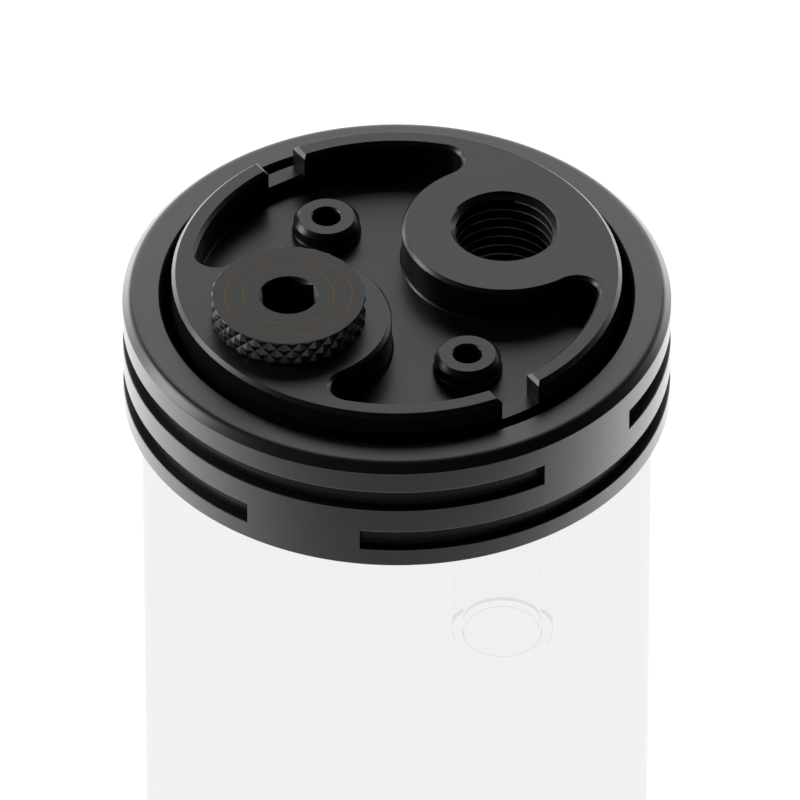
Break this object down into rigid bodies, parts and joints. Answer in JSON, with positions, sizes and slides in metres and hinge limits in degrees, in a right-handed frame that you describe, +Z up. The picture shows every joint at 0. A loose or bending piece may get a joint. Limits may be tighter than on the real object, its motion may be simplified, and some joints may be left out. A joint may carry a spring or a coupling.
{
  "type": "water cooling reservoir",
  "caption": "Upright tube reservoir for liquid cooling: clear cylinder between slotted collars, screw-in end plates with threaded ports, a screw plug, a drop tube and rubber seals.",
  "frame": {"origin": "middle of the base, on the faces it stands on", "axes": "+Z up along the tube; the ports lie on X, with the open ports at +X and the plugs at -X; the bracket bosses lie on Y"},
  "size_m": [0.064, 0.064, 0.1652],
  "materials": {
    "clear_tube": "clear, polished",
    "clear_pipe": "clear, polished",
    "collar_black": "black, fine satin",
    "plate_black": "black, machined satin",
    "plug_black": "black, fine satin",
    "copper_inlay": "bare copper colour",
    "seal_rubber": "matt black"
  },
  "bodies": {
    "root": {"glass_tube": "clear_tube", "top_collar": "collar_black", "bottom_collar": "collar_black", "top_grip_ring": "seal_rubber", "bottom_grip_ring": "seal_rubber", "top_end_gasket": "seal_rubber", "bottom_end_gasket": "seal_rubber"},
    "top_seal_carrier": {"top_bore_seal_outer": "seal_rubber", "top_bore_seal_inner": "seal_rubber"},
    "top_plate": {"top_port_plate": "plate_black", "drop_tube": "clear_pipe", "drop_tube_seal": "seal_rubber"},
    "fill_seal_carrier": {"fill_plug_seal": "seal_rubber"},
    "fill_plug": {"fill_plug": "plug_black", "fill_plug_inlay": "copper_inlay"},
    "bottom_seal_carrier": {"bottom_bore_seal_outer": "seal_rubber", "bottom_bore_seal_inner": "seal_rubber"},
    "bottom_plate": {"bottom_port_plate": "plate_black"},
    "drain_seal_carrier": {"drain_plug_seal": "seal_rubber"},
    "drain_plug": {"drain_plug": "plug_black"}
  },
  "joints": [
    {"name": "top_plate_rise", "type": "slide", "parent": "root", "child": "top_seal_carrier", "axis": [0, 0, 1], "range_m": [0, 0.00305]},
    {"name": "top_plate_turn", "type": "hinge", "parent": "top_seal_carrier", "child": "top_plate", "pos_m": [0, 0, 0.159], "axis": [0, 0, 1], "range_deg": [0, 720]},
    {"name": "fill_plug_rise", "type": "slide", "parent": "top_plate", "child": "fill_seal_carrier", "axis": [0, 0, 1], "range_m": [0, 0.0067]},
    {"name": "fill_plug_turn", "type": "hinge", "parent": "fill_seal_carrier", "child": "fill_plug", "pos_m": [-0.015, 0, 0.162], "axis": [0, 0, 1], "range_deg": [0, 1800]},
    {"name": "bottom_plate_drop", "type": "slide", "parent": "root", "child": "bottom_seal_carrier", "axis": [0, 0, -1], "range_m": [0, 0.00305]},
    {"name": "bottom_plate_turn", "type": "hinge", "parent": "bottom_seal_carrier", "child": "bottom_plate", "pos_m": [0, 0, 0.003], "axis": [0, 0, -1], "range_deg": [0, 720]},
    {"name": "drain_plug_drop", "type": "slide", "parent": "bottom_plate", "child": "drain_seal_carrier", "axis": [0, 0, -1], "range_m": [0, 0.0067]},
    {"name": "drain_plug_turn", "type": "hinge", "parent": "drain_seal_carrier", "child": "drain_plug", "pos_m": [-0.015, 0, 0.003], "axis": [0, 0, -1], "range_deg": [0, 1800]}
  ],
  "couplings": [
    {"joint": "top_plate_rise", "follows": "top_plate_turn", "m_per_rad": 0.00023873},
    {"joint": "fill_plug_rise", "follows": "fill_plug_turn", "m_per_rad": 0.00021279},
    {"joint": "bottom_plate_drop", "follows": "bottom_plate_turn", "m_per_rad": 0.00023873},
    {"joint": "drain_plug_drop", "follows": "drain_plug_turn", "m_per_rad": 0.00021279}
  ]
}
